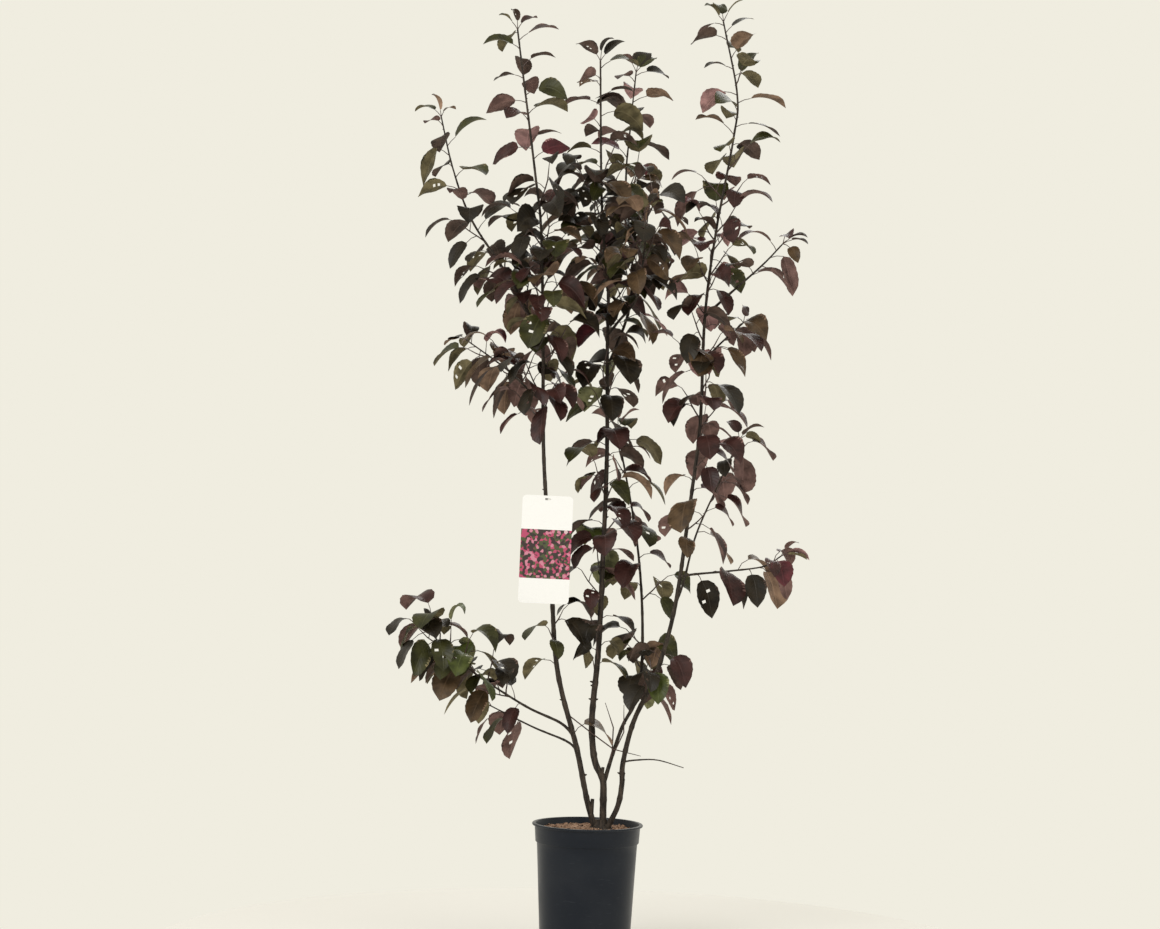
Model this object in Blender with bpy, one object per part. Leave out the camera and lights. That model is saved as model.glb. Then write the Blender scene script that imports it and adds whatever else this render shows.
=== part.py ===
# Many-stemmed ornamental fruit bush in a black nursery pot, with a picture card hung on one stem.
# Units are metres, +Z is up. The origin is the centre of the pot's flat underside.
import math
import random

import bpy
import bmesh
from mathutils import Matrix, Vector, noise

# Pot
POT_HEIGHT = 0.220
FOOT_RADIUS = 0.0758
BODY_TOP_RADIUS = 0.0862
BAND_HEIGHT = 0.032
BAND_LOW_RADIUS = 0.0888
BAND_TOP_RADIUS = 0.0908
LIP_RADIUS = 0.095
LIP_DEPTH = 0.0036
WALL = 0.0022
POT_FLOOR = 0.0030
POT_EDGE = 0.0006
WALL_BEND = 0.003
POT_SEGMENTS = 40
MERGE = 0.00002
DRAIN_HOLES = 6
DRAIN_RADIUS = 0.0045
DRAIN_SIDES = 8
DRAIN_RING_RADIUS = 0.056

# Soil
SOIL_LEVEL = 0.2110
SOIL_DROP_AT_WALL = 0.004
SOIL_FLAT_RADIUS = 0.036

# Gap that touching pieces keep between them
GAP = 0.0003
CARVE_GAP = 0.0008
MASS_GAP = 0.0012

# Common foot of the stems
FOOT_CENTRE = (0.023, 0.0)
FOOT_HALF_WIDTH = 0.0205
FOOT_HALF_DEPTH = 0.0150
FOOT_HEIGHT = 0.016
FOOT_SIDES = 16

# Limbs
STEM_SIDES = 7
BOUGH_SIDES = 5
STEM_STEP = 0.060
BOUGH_STEP = 0.050

# Foliage
MASS_RINGS = 6
MASS_SIDES = 8
LUMP_SIZE = 0.075
LUMP_DEPTH = 0.30
JITTER = 0.10
FIRST_SEED = 100

# Picture card and its tie
CARD_WIDTH = 0.086
CARD_HEIGHT = 0.183
CARD_THICKNESS = 0.0010
CARD_CORNER = 0.007
CARD_CENTRE = (-0.0835, -0.0555, 0.689)
CARD_TILT = math.radians(1.2)
SLOT_WIDTH = 0.0100
SLOT_HEIGHT = 0.0034
SLOT_BELOW_TOP = 0.0060
TIE_THICKNESS = 0.0010
TIE_CLEARANCE = 0.0032
TIE_STEPS = 20
TIE_SIDES = 6
STEM_RADIUS_AT_TIE = 0.0045
CARD_MARGIN = 0.008
CARD_ROOM_DEPTH = 0.012

# Each stem: foot radius, tip radius and the points it passes through, foot first.
STEMS = {
    "stem_left": (0.0052, 0.0017, [
        (0.013, 0.000, 0.220), (-0.002, 0.000, 0.260), (-0.022, -0.006, 0.349), (-0.059, -0.018, 0.486),
        (-0.074, -0.035, 0.654), (-0.091, -0.050, 0.849), (-0.097, -0.055, 1.036), (-0.105, -0.045, 1.225),
        (-0.118, -0.040, 1.327), (-0.146, -0.025, 1.514), (-0.152, -0.020, 1.553)]),
    "stem_middle": (0.0062, 0.0017, [
        (0.026, 0.000, 0.222), (0.026, 0.000, 0.261), (0.024, 0.000, 0.296), (0.009, 0.000, 0.330),
        (0.003, 0.000, 0.400), (0.011, 0.008, 0.517), (0.014, 0.016, 0.646), (0.017, 0.024, 0.844),
        (0.013, 0.030, 1.033), (0.012, 0.030, 1.130), (-0.003, 0.028, 1.283), (-0.012, 0.020, 1.504)]),
    "stem_right": (0.0048, 0.0015, [
        (0.034, -0.004, 0.220), (0.051, -0.007, 0.252), (0.057, -0.010, 0.290), (0.058, -0.012, 0.328),
        (0.075, -0.022, 0.401), (0.111, -0.034, 0.485), (0.139, -0.046, 0.599), (0.158, -0.052, 0.759),
        (0.173, -0.050, 0.907), (0.177, -0.035, 1.090), (0.193, -0.010, 1.237), (0.220, 0.015, 1.400),
        (0.225, 0.020, 1.478), (0.200, 0.020, 1.593)]),
}

# Each bough: the limb that carries it, foot radius, tip radius and its points.
BOUGHS = {
    "stem_inner": ("stem_middle", 0.0036, 0.0016, [
        (0.025, 0.000, 0.284), (0.036, 0.006, 0.325), (0.055, 0.012, 0.385), (0.083, 0.026, 0.449),
        (0.086, 0.045, 0.569), (0.073, 0.062, 0.706), (0.044, 0.080, 0.853)]),
    "bough_far_left": ("stem_left", 0.0030, 0.0014, [
        (-0.097, -0.055, 1.030), (-0.119, -0.030, 1.082), (-0.167, 0.015, 1.164), (-0.228, 0.060, 1.254),
        (-0.264, 0.080, 1.345), (-0.285, 0.090, 1.423)]),
    "bough_back": ("stem_middle", 0.0028, 0.0013, [
        (0.014, 0.030, 1.006), (0.028, 0.048, 1.040), (0.050, 0.078, 1.110), (0.053, 0.105, 1.195),
        (0.039, 0.130, 1.327), (0.044, 0.145, 1.429), (0.049, 0.150, 1.495)]),
    "bough_front": ("stem_middle", 0.0026, 0.0014, [
        (0.012, 0.030, 1.058), (0.030, 0.000, 1.081), (0.060, -0.055, 1.120), (0.068, -0.095, 1.181),
        (0.074, -0.120, 1.239)]),
    "bough_right_arm": ("stem_right", 0.0026, 0.0013, [
        (0.177, -0.035, 1.092), (0.209, -0.060, 1.123), (0.267, -0.110, 1.176), (0.296, -0.135, 1.209)]),
    "bough_right_back": ("stem_right", 0.0022, 0.0012, [
        (0.140, -0.046, 0.602), (0.154, -0.020, 0.642), (0.174, 0.020, 0.719), (0.210, 0.060, 0.802),
        (0.246, 0.090, 0.878)]),
    "bough_right_low": ("stem_right", 0.0022, 0.0012, [
        (0.146, -0.050, 0.649), (0.171, -0.060, 0.654), (0.230, -0.085, 0.662), (0.270, -0.100, 0.668)]),
    "bough_right_middle": ("stem_right", 0.0022, 0.0012, [
        (0.177, -0.042, 1.015), (0.203, -0.020, 1.045), (0.236, 0.014, 1.076)]),
    "bough_left_middle": ("stem_left", 0.0022, 0.0012, [
        (-0.095, -0.054, 0.940), (-0.121, -0.030, 0.961), (-0.162, 0.010, 0.997), (-0.208, 0.050, 1.030)]),
    "bough_low_left": ("stem_left", 0.0026, 0.0013, [
        (-0.026, -0.008, 0.367), (-0.050, -0.018, 0.392), (-0.110, -0.042, 0.421), (-0.189, -0.068, 0.471),
        (-0.240, -0.085, 0.510)]),
    "bough_low_back_left": ("stem_left", 0.0022, 0.0012, [
        (-0.022, -0.006, 0.346), (-0.041, 0.005, 0.360), (-0.098, 0.038, 0.379), (-0.150, 0.064, 0.396)]),
    "twig_low_right": ("stem_right", 0.0017, 0.0008, [
        (0.059, -0.012, 0.328), (0.076, -0.020, 0.332), (0.115, -0.035, 0.335), (0.160, -0.055, 0.325)]),
}

# Each mass of leaves: the points of its middle line and its radius across X and across Y at each point.
MASSES = {
    "leaves_far_left_tip": [
        ((-0.232, 0.060, 1.222), 0.030, 0.040), ((-0.268, 0.078, 1.300), 0.066, 0.060),
        ((-0.282, 0.086, 1.392), 0.076, 0.062), ((-0.292, 0.090, 1.478), 0.060, 0.040)],
    "leaves_left_tip": [
        ((-0.120, -0.036, 1.345), 0.040, 0.045), ((-0.130, -0.030, 1.430), 0.086, 0.072),
        ((-0.145, -0.026, 1.520), 0.070, 0.060), ((-0.150, -0.020, 1.615), 0.046, 0.035)],
    "leaves_middle_tip": [
        ((-0.006, 0.026, 1.350), 0.046, 0.046), ((-0.010, 0.022, 1.440), 0.056, 0.058),
        ((-0.008, 0.020, 1.565), 0.036, 0.036)],
    "leaves_back_tip": [
        ((0.040, 0.130, 1.318), 0.050, 0.046), ((0.048, 0.142, 1.410), 0.074, 0.066),
        ((0.060, 0.152, 1.490), 0.066, 0.058), ((0.072, 0.152, 1.570), 0.040, 0.034)],
    "leaves_right_tip": [
        ((0.214, 0.006, 1.325), 0.052, 0.050), ((0.224, 0.018, 1.400), 0.080, 0.070),
        ((0.218, 0.020, 1.500), 0.078, 0.070), ((0.198, 0.022, 1.590), 0.094, 0.062),
        ((0.186, 0.022, 1.640), 0.070, 0.040)],
    "leaves_left_shoulder": [
        ((-0.200, 0.020, 1.050), 0.030, 0.030), ((-0.205, 0.024, 1.130), 0.056, 0.060),
        ((-0.192, 0.034, 1.215), 0.060, 0.062), ((-0.170, 0.030, 1.270), 0.030, 0.034)],
    "leaves_left_crown": [
        ((-0.098, -0.058, 1.070), 0.046, 0.056), ((-0.104, -0.052, 1.155), 0.078, 0.086),
        ((-0.114, -0.046, 1.240), 0.080, 0.084), ((-0.122, -0.040, 1.330), 0.064, 0.056)],
    "leaves_middle_crown": [
        ((0.010, 0.018, 1.000), 0.056, 0.056), ((0.006, 0.020, 1.090), 0.082, 0.086),
        ((0.002, 0.016, 1.190), 0.090, 0.092), ((-0.002, 0.022, 1.280), 0.086, 0.082),
        ((0.004, 0.028, 1.345), 0.060, 0.054)],
    "leaves_back_crown": [
        ((0.040, 0.112, 1.060), 0.056, 0.050), ((0.046, 0.140, 1.150), 0.090, 0.076),
        ((0.044, 0.158, 1.240), 0.082, 0.070), ((0.040, 0.160, 1.315), 0.046, 0.042)],
    "leaves_front_crown": [
        ((0.066, -0.086, 1.065), 0.046, 0.044), ((0.078, -0.118, 1.150), 0.074, 0.070),
        ((0.080, -0.136, 1.230), 0.068, 0.066), ((0.074, -0.140, 1.300), 0.036, 0.034)],
    "leaves_right_crown": [
        ((0.182, -0.030, 1.110), 0.050, 0.060), ((0.190, -0.016, 1.180), 0.074, 0.080),
        ((0.206, -0.004, 1.250), 0.072, 0.076), ((0.216, 0.004, 1.310), 0.050, 0.050)],
    "leaves_right_arm": [
        ((0.268, -0.112, 1.150), 0.034, 0.036), ((0.296, -0.130, 1.190), 0.054, 0.050),
        ((0.326, -0.142, 1.228), 0.042, 0.036)],
    "leaves_left_skirt": [
        ((-0.132, -0.010, 0.935), 0.034, 0.036), ((-0.196, 0.040, 0.985), 0.052, 0.056),
        ((-0.248, 0.082, 1.040), 0.046, 0.048)],
    "leaves_left_inner": [
        ((-0.064, -0.064, 0.890), 0.030, 0.034), ((-0.066, -0.066, 0.960), 0.046, 0.056),
        ((-0.062, -0.060, 1.050), 0.044, 0.050)],
    "leaves_right_middle": [
        ((0.182, -0.056, 0.895), 0.060, 0.058), ((0.186, -0.054, 0.970), 0.076, 0.078),
        ((0.190, -0.044, 1.080), 0.066, 0.066)],
    "leaves_right_edge": [
        ((0.236, 0.030, 1.000), 0.036, 0.046), ((0.254, 0.040, 1.060), 0.052, 0.066),
        ((0.262, 0.034, 1.120), 0.038, 0.044)],
    "leaves_middle_column": [
        ((0.030, 0.040, 0.800), 0.050, 0.050), ((0.034, 0.050, 0.860), 0.086, 0.082),
        ((0.030, 0.050, 0.935), 0.078, 0.076), ((0.024, 0.040, 0.990), 0.044, 0.044)],
    "leaves_right_lower": [
        ((0.146, -0.056, 0.700), 0.046, 0.050), ((0.158, -0.060, 0.770), 0.070, 0.074),
        ((0.168, -0.056, 0.860), 0.060, 0.066)],
    "leaves_right_back": [
        ((0.216, 0.070, 0.730), 0.034, 0.040), ((0.234, 0.084, 0.810), 0.046, 0.052),
        ((0.262, 0.098, 0.895), 0.046, 0.050)],
    "leaves_right_low": [
        ((0.206, -0.080, 0.615), 0.040, 0.040), ((0.266, -0.104, 0.624), 0.056, 0.050),
        ((0.330, -0.120, 0.676), 0.040, 0.040)],
    "leaves_middle_low": [
        ((0.030, 0.034, 0.580), 0.056, 0.052), ((0.036, 0.040, 0.660), 0.086, 0.076),
        ((0.034, 0.040, 0.770), 0.068, 0.066)],
    "leaves_low_centre": [
        ((0.076, 0.018, 0.412), 0.036, 0.040), ((0.082, 0.022, 0.470), 0.060, 0.064),
        ((0.088, 0.030, 0.530), 0.042, 0.046)],
    "leaves_low_middle": [
        ((-0.016, 0.006, 0.452), 0.026, 0.034), ((-0.016, 0.008, 0.520), 0.042, 0.050),
        ((-0.012, 0.014, 0.588), 0.034, 0.040)],
    "leaves_low_left_inner": [
        ((-0.088, -0.040, 0.440), 0.026, 0.034), ((-0.096, -0.044, 0.500), 0.036, 0.044),
        ((-0.092, -0.040, 0.560), 0.024, 0.032)],
    "leaves_low_left": [
        ((-0.150, -0.058, 0.400), 0.034, 0.040), ((-0.196, -0.074, 0.462), 0.062, 0.062),
        ((-0.252, -0.088, 0.540), 0.052, 0.050), ((-0.285, -0.094, 0.590), 0.026, 0.028)],
    "leaves_low_back_left": [
        ((-0.128, 0.060, 0.384), 0.026, 0.030), ((-0.162, 0.074, 0.400), 0.042, 0.046),
        ((-0.196, 0.084, 0.430), 0.030, 0.034)],
}

BARK = (0.085, 0.062, 0.048)
COLOURS = {
    "pot": ((0.016, 0.017, 0.019), 0.42),
    "soil": ((0.110, 0.055, 0.032), 0.95),
    "wood": (BARK, 0.80),
    "card": ((0.900, 0.890, 0.880), 0.45),
    "tie": ((0.780, 0.780, 0.760), 0.60),
}
LEAF_ROUGHNESS = 0.55


def clear_scene():
    for item in list(bpy.data.objects):
        bpy.data.objects.remove(item, do_unlink=True)


def paint(piece, colour, roughness):
    material = bpy.data.materials.new(piece.name)
    material.use_nodes = True
    shader = material.node_tree.nodes["Principled BSDF"]
    shader.inputs["Base Color"].default_value = (*colour, 1.0)
    shader.inputs["Roughness"].default_value = roughness
    shader.inputs["Metallic"].default_value = 0.0
    piece.data.materials.clear()
    piece.data.materials.append(material)


def piece_from(name, mesh_data, smooth=False):
    """A new object in the scene from an edit mesh, in flat triangles that point out."""
    bmesh.ops.triangulate(mesh_data, faces=mesh_data.faces)
    bmesh.ops.recalc_face_normals(mesh_data, faces=mesh_data.faces)
    mesh = bpy.data.meshes.new(name)
    mesh_data.to_mesh(mesh)
    mesh_data.free()
    if smooth:
        mesh.shade_smooth()
        mesh.set_sharp_from_angle(angle=math.radians(40))
    piece = bpy.data.objects.new(name, mesh)
    bpy.context.collection.objects.link(piece)
    return piece


def skin(rings, start_cap, end_cap):
    """A closed tube over rings of points. Each cap is a point, or None for a flat end."""
    body = bmesh.new()
    rows = [[body.verts.new(point) for point in ring] for ring in rings]
    count = len(rows[0])
    for low, high in zip(rows, rows[1:]):
        for i in range(count):
            j = (i + 1) % count
            body.faces.new((low[i], low[j], high[j], high[i]))
    for row, cap in ((rows[0], start_cap), (rows[-1], end_cap)):
        if cap is None:
            body.faces.new(row)
            continue
        pole = body.verts.new(cap)
        for i in range(count):
            body.faces.new((row[i], row[(i + 1) % count], pole))
    return body


def smooth_route(points, step):
    """Points about one step apart on a smooth curve through the given ones, and how far along each lies."""
    knots = [Vector(point) for point in points]
    padded = [2 * knots[0] - knots[1], *knots, 2 * knots[-1] - knots[-2]]
    route = [knots[0]]
    for a, b, c, d in zip(padded, padded[1:], padded[2:], padded[3:]):
        parts = max(1, round((c - b).length / step))
        for k in range(1, parts + 1):
            t = k / parts
            route.append(0.5 * (2 * b + (c - a) * t + (2 * a - 5 * b + 4 * c - d) * t**2
                                + (3 * b - 3 * c + d - a) * t**3))
    lengths = [0.0]
    for a, b in zip(route, route[1:]):
        lengths.append(lengths[-1] + (b - a).length)
    return route, [length / lengths[-1] for length in lengths]


def limb(name, points, foot_radius, tip_radius, sides, step, swell=0.0):
    """One tapering limb with flat ends. The swell widens it all along, for a cutter."""
    route, along = smooth_route(points, step)
    side = Vector((1.0, 0.0, 0.0))
    rings = []
    for i, point in enumerate(route):
        ahead = (route[min(i + 1, len(route) - 1)] - route[max(i - 1, 0)]).normalized()
        side = (side - ahead * side.dot(ahead)).normalized()
        across = ahead.cross(side)
        radius = foot_radius + (tip_radius - foot_radius) * along[i] ** 0.8 + swell
        rings.append([point + radius * (math.cos(turn) * side + math.sin(turn) * across)
                      for turn in (2 * math.pi * k / sides for k in range(sides))])
    return piece_from(name, skin(rings, None, None), smooth=True)


def cut(piece, cutter):
    """Takes the cutter's shape out of the piece, and removes the cutter."""
    cutter.hide_render = True
    cutter.display_type = "WIRE"
    modifier = piece.modifiers.new("cut", "BOOLEAN")
    modifier.operation = "DIFFERENCE"
    modifier.solver = "EXACT"
    modifier.object = cutter
    shaped = piece.evaluated_get(bpy.context.evaluated_depsgraph_get())
    mesh = bpy.data.meshes.new_from_object(shaped)
    piece.modifiers.clear()
    piece.data = mesh
    bpy.data.objects.remove(cutter, do_unlink=True)


def keep_largest_body(piece):
    """Drops the crumbs that a cut leaves beside the main body."""
    body = bmesh.new()
    body.from_mesh(piece.data)
    waiting = set(body.verts)
    groups = []
    while waiting:
        group = set()
        edge_of_group = [waiting.pop()]
        while edge_of_group:
            vertex = edge_of_group.pop()
            group.add(vertex)
            for edge in vertex.link_edges:
                other = edge.other_vert(vertex)
                if other in waiting:
                    waiting.discard(other)
                    edge_of_group.append(other)
        groups.append(group)
    groups.sort(key=len)
    crumbs = [vertex for group in groups[:-1] for vertex in group]
    bmesh.ops.delete(body, geom=crumbs, context="VERTS")
    body.to_mesh(piece.data)
    body.free()


def boxes_meet(one, other, margin=0.002):
    """Whether the boxes round two pieces come within the margin."""
    def limits(piece):
        corners = [piece.matrix_world @ vertex.co for vertex in piece.data.vertices]
        return [(min(c[i] for c in corners), max(c[i] for c in corners)) for i in range(3)]
    return all(low - margin < top and bottom < high + margin
               for (low, high), (bottom, top) in zip(limits(one), limits(other)))


def swollen_copy(piece, amount):
    """A copy whose surface lies further out, to cut a neighbour with."""
    body = bmesh.new()
    body.from_mesh(piece.data)
    body.normal_update()
    shifts = [(vertex, vertex.normal * amount) for vertex in body.verts]
    for vertex, shift in shifts:
        vertex.co += shift
    return piece_from(piece.name + "_cutter", body)


def turned(name, outline):
    """A closed round shape from the radii and heights of its outline, which starts and ends on the axis."""
    body = bmesh.new()
    row = [body.verts.new((radius, 0.0, height)) for radius, height in outline]
    edges = [body.edges.new(pair) for pair in zip(row, row[1:])]
    bmesh.ops.spin(body, geom=row + edges, cent=(0, 0, 0), axis=(0, 0, 1), angle=2 * math.pi,
                   steps=POT_SEGMENTS, use_duplicate=False, use_merge=True)
    bmesh.ops.remove_doubles(body, verts=body.verts, dist=MERGE)
    return piece_from(name, body, smooth=True)


def make_pot():
    """The moulded pot: tapered wall, stepped band, rolled lip and a floor with drain holes."""
    band_foot = POT_HEIGHT - BAND_HEIGHT
    lip_foot = POT_HEIGHT - LIP_DEPTH
    pot = turned("pot", [
        (0.0, 0.0), (FOOT_RADIUS, 0.0), (BODY_TOP_RADIUS, band_foot), (BAND_LOW_RADIUS, band_foot + POT_EDGE),
        (BAND_TOP_RADIUS, lip_foot), (LIP_RADIUS, lip_foot + POT_EDGE), (LIP_RADIUS, POT_HEIGHT - POT_EDGE),
        (LIP_RADIUS - 2 * POT_EDGE, POT_HEIGHT), (BAND_TOP_RADIUS - WALL, POT_HEIGHT),
        (BAND_LOW_RADIUS - WALL - POT_EDGE, band_foot + WALL_BEND),
        (BODY_TOP_RADIUS - WALL, band_foot - WALL_BEND),
        (FOOT_RADIUS - WALL, POT_FLOOR), (0.0, POT_FLOOR)])
    for i in range(DRAIN_HOLES):
        turn = 2 * math.pi * (i + 0.5) / DRAIN_HOLES
        drill = bmesh.new()
        across, deep = DRAIN_RING_RADIUS * math.cos(turn), DRAIN_RING_RADIUS * math.sin(turn)
        bmesh.ops.create_cone(drill, cap_ends=True, segments=DRAIN_SIDES, radius1=DRAIN_RADIUS,
                              radius2=DRAIN_RADIUS, depth=4 * POT_FLOOR,
                              matrix=Matrix.Translation((across, deep, POT_FLOOR / 2)))
        cut(pot, piece_from("drill", drill))
    paint(pot, *COLOURS["pot"])


def make_soil():
    """The root ball: it fills the pot from floor to soil level and lies a little lower at the wall."""
    floor = POT_FLOOR + GAP
    top = SOIL_LEVEL - SOIL_DROP_AT_WALL
    shoulder = POT_HEIGHT - BAND_HEIGHT - WALL_BEND - POT_EDGE
    low = FOOT_RADIUS - WALL - GAP * 2
    high = BODY_TOP_RADIUS - WALL - GAP * 3
    soil = turned("soil", [
        (0.0, floor), (low, floor), (high, shoulder), (high, top),
        (SOIL_FLAT_RADIUS * 1.6, SOIL_LEVEL - SOIL_DROP_AT_WALL / 4), (SOIL_FLAT_RADIUS, SOIL_LEVEL),
        (0.0, SOIL_LEVEL)])
    paint(soil, *COLOURS["soil"])


def make_trunk_foot():
    """The short flared trunk that the stems spring from, cut flat at soil level."""
    flare = [(0.00, 1.00), (0.12, 0.86), (0.35, 0.72), (0.70, 0.62), (1.00, 0.50)]
    rings = []
    for height, spread in flare:
        ring = []
        for i in range(FOOT_SIDES):
            turn = 2 * math.pi * i / FOOT_SIDES
            buttress = 1 + 0.13 * (1 - height) * math.sin(5 * turn + 0.7)
            ring.append((FOOT_CENTRE[0] + FOOT_HALF_WIDTH * spread * buttress * math.cos(turn),
                         FOOT_CENTRE[1] + FOOT_HALF_DEPTH * spread * buttress * math.sin(turn),
                         SOIL_LEVEL + GAP + FOOT_HEIGHT * height))
        rings.append(ring)
    foot = piece_from("trunk_foot", skin(rings, None, None), smooth=True)
    paint(foot, *COLOURS["wood"])
    return foot


def make_limbs(foot):
    """Every stem and bough, each cut clear of the limb that carries it."""
    routes = {}
    limbs = {}
    for name, (foot_radius, tip_radius, points) in STEMS.items():
        routes[name] = (points, foot_radius, tip_radius, STEM_SIDES, STEM_STEP)
        limbs[name] = limb(name, *routes[name])
        cut(limbs[name], swollen_copy(foot, CARVE_GAP))
        keep_largest_body(limbs[name])
    for name, (carrier, foot_radius, tip_radius, points) in BOUGHS.items():
        routes[name] = (points, foot_radius, tip_radius, BOUGH_SIDES, BOUGH_STEP)
        limbs[name] = limb(name, *routes[name])
        cut(limbs[name], limb("carrier_cutter", *routes[carrier], swell=CARVE_GAP))
        keep_largest_body(limbs[name])
    for piece in limbs.values():
        paint(piece, *COLOURS["wood"])
    return limbs, routes


def leaf_colour(height, chance):
    """Wine to bronze above, darker and greener below, a little different on each mass."""
    wine = Vector((0.055, 0.018, 0.024))
    bronze = Vector((0.085, 0.046, 0.026))
    olive = Vector((0.040, 0.045, 0.020))
    upper = bronze.lerp(wine, chance.random())
    lower = olive.lerp(wine, chance.random() * 0.7)
    return tuple(lower.lerp(upper, min(1.0, max(0.0, (height - 0.4) / 1.0))))


def make_mass(name, stations, chance):
    """One closed, uneven mass of leaves round its middle line."""
    centres = [Vector(centre) for centre, _, _ in stations]
    drift = Vector((chance.uniform(-9, 9) for _ in range(3)))
    last = len(stations) - 1
    rings = []
    for i in range(MASS_RINGS):
        t = (i + 0.5) / MASS_RINGS
        k = min(int(t * last), last - 1)
        f = t * last - k
        centre = centres[k].lerp(centres[k + 1], f)
        across = stations[k][1] * (1 - f) + stations[k + 1][1] * f
        deep = stations[k][2] * (1 - f) + stations[k + 1][2] * f
        ring = []
        for j in range(MASS_SIDES):
            turn = 2 * math.pi * (j + 0.5 * (i % 2)) / MASS_SIDES
            out = Vector((across * math.cos(turn), deep * math.sin(turn), 0.0))
            lump = noise.noise((centre + out) / LUMP_SIZE + drift)
            rise = Vector((0, 0, chance.uniform(-0.5, 0.5) * JITTER * across))
            ring.append(centre + out * (1 + LUMP_DEPTH * lump + chance.uniform(-JITTER, JITTER)) + rise)
        rings.append(ring)
    foot = centres[0] - (centres[1] - centres[0]).normalized() * 0.008
    tip = centres[-1] + (centres[-1] - centres[-2]).normalized() * 0.006
    mass = piece_from(name, skin(rings, foot, tip))
    middle = sum((centre.z for centre in centres)) / len(centres)
    paint(mass, leaf_colour(middle, chance), LEAF_ROUGHNESS)
    return mass


def make_masses(limbs, routes, card_room):
    """Every mass, cut clear of the limbs through it, of the card and of the masses made before it."""
    whole = []
    for index, (name, stations) in enumerate(MASSES.items()):
        mass = make_mass(name, stations, random.Random(FIRST_SEED + index))
        material = mass.data.materials[0]
        neighbours = [other for other in whole if boxes_meet(mass, other)]
        whole.append(swollen_copy(mass, MASS_GAP))
        for other in neighbours:
            cut(mass, swollen_copy(other, 0.0))
            keep_largest_body(mass)
        if boxes_meet(mass, card_room):
            cut(mass, swollen_copy(card_room, 0.0))
        for limb_name, piece in limbs.items():
            if boxes_meet(mass, piece):
                cut(mass, limb("limb_cutter", *routes[limb_name], swell=CARVE_GAP))
        keep_largest_body(mass)
        mass.data.materials.clear()
        mass.data.materials.append(material)
    for other in whole:
        bpy.data.objects.remove(other, do_unlink=True)


def rounded_rectangle(width, height, corner, arc_steps=4):
    points = []
    for quarter, (sx, sz) in enumerate(((1, 1), (-1, 1), (-1, -1), (1, -1))):
        for k in range(arc_steps + 1):
            turn = math.pi / 2 * (quarter + k / arc_steps)
            points.append((sx * (width / 2 - corner) + corner * math.cos(turn),
                           sz * (height / 2 - corner) + corner * math.sin(turn)))
    return points


def plate(name, outline, thickness):
    """A flat plate in the XZ plane, centred on Y."""
    body = bmesh.new()
    face = body.faces.new([body.verts.new((x, -thickness / 2, z)) for x, z in outline])
    grown = bmesh.ops.extrude_face_region(body, geom=[face])
    bmesh.ops.translate(body, vec=(0, thickness, 0),
                        verts=[item for item in grown["geom"] if isinstance(item, bmesh.types.BMVert)])
    return piece_from(name, body)


def hang(piece):
    """Puts a piece made about the card's own centre at the card's place."""
    piece.data.transform(Matrix.Translation(CARD_CENTRE) @ Matrix.Rotation(CARD_TILT, 4, "Y"))


def make_card():
    card = plate("label_card", rounded_rectangle(CARD_WIDTH, CARD_HEIGHT, CARD_CORNER), CARD_THICKNESS)
    slot_outline = rounded_rectangle(SLOT_WIDTH, SLOT_HEIGHT, SLOT_HEIGHT * 0.49)
    slot = plate("slot_cutter", slot_outline, CARD_THICKNESS * 4)
    slot.data.transform(Matrix.Translation((0, 0, CARD_HEIGHT / 2 - SLOT_BELOW_TOP)))
    cut(card, slot)
    hang(card)
    paint(card, *COLOURS["card"])


def make_tie():
    """A thin closed loop round the left stem that passes through the card's slot."""
    slot_place = Matrix.Rotation(CARD_TILT, 4, "Y") @ Vector((0, 0, CARD_HEIGHT / 2 - SLOT_BELOW_TOP))
    slot_centre = Vector(CARD_CENTRE) + slot_place
    knots, _ = smooth_route(STEMS["stem_left"][2], 0.01)
    stem_point = min(knots, key=lambda point: abs(point.z - slot_centre.z))
    front = slot_centre + Vector((0, -TIE_THICKNESS * 0.5, 0))
    back = stem_point + Vector((0, STEM_RADIUS_AT_TIE + TIE_CLEARANCE, STEM_RADIUS_AT_TIE))
    middle = (front + back) / 2
    half_length = (back - front).length / 2
    half_width = STEM_RADIUS_AT_TIE + TIE_CLEARANCE
    rings = []
    run = (back - front).normalized()
    wide = Vector((1, 0, 0))
    up = wide.cross(run)
    for i in range(TIE_STEPS):
        turn = 2 * math.pi * i / TIE_STEPS
        centre = middle - run * half_length * math.cos(turn) + wide * half_width * math.sin(turn)
        outward = (centre - middle).normalized()
        rings.append([centre + TIE_THICKNESS / 2 * (math.cos(a) * outward + math.sin(a) * up)
                      for a in (2 * math.pi * k / TIE_SIDES for k in range(TIE_SIDES))])
    body = bmesh.new()
    rows = [[body.verts.new(point) for point in ring] for ring in rings]
    for low, high in zip(rows, rows[1:] + rows[:1]):
        for k in range(TIE_SIDES):
            body.faces.new((low[k], low[(k + 1) % TIE_SIDES], high[(k + 1) % TIE_SIDES], high[k]))
    tie = piece_from("label_tie", body, smooth=True)
    paint(tie, *COLOURS["tie"])


def make_card_room():
    """The space that the card and its tie hang in, which the leaves keep clear of."""
    outline = rounded_rectangle(CARD_WIDTH + CARD_MARGIN, CARD_HEIGHT + CARD_MARGIN, CARD_CORNER)
    room = plate("card_room", outline, CARD_ROOM_DEPTH)
    hang(room)
    return room


def main():
    clear_scene()
    make_pot()
    make_soil()
    foot = make_trunk_foot()
    limbs, routes = make_limbs(foot)
    card_room = make_card_room()
    make_masses(limbs, routes, card_room)
    bpy.data.objects.remove(card_room, do_unlink=True)
    make_card()
    make_tie()


main()
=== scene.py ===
import math
import random

import bpy
from mathutils import Matrix, Vector, noise


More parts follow.
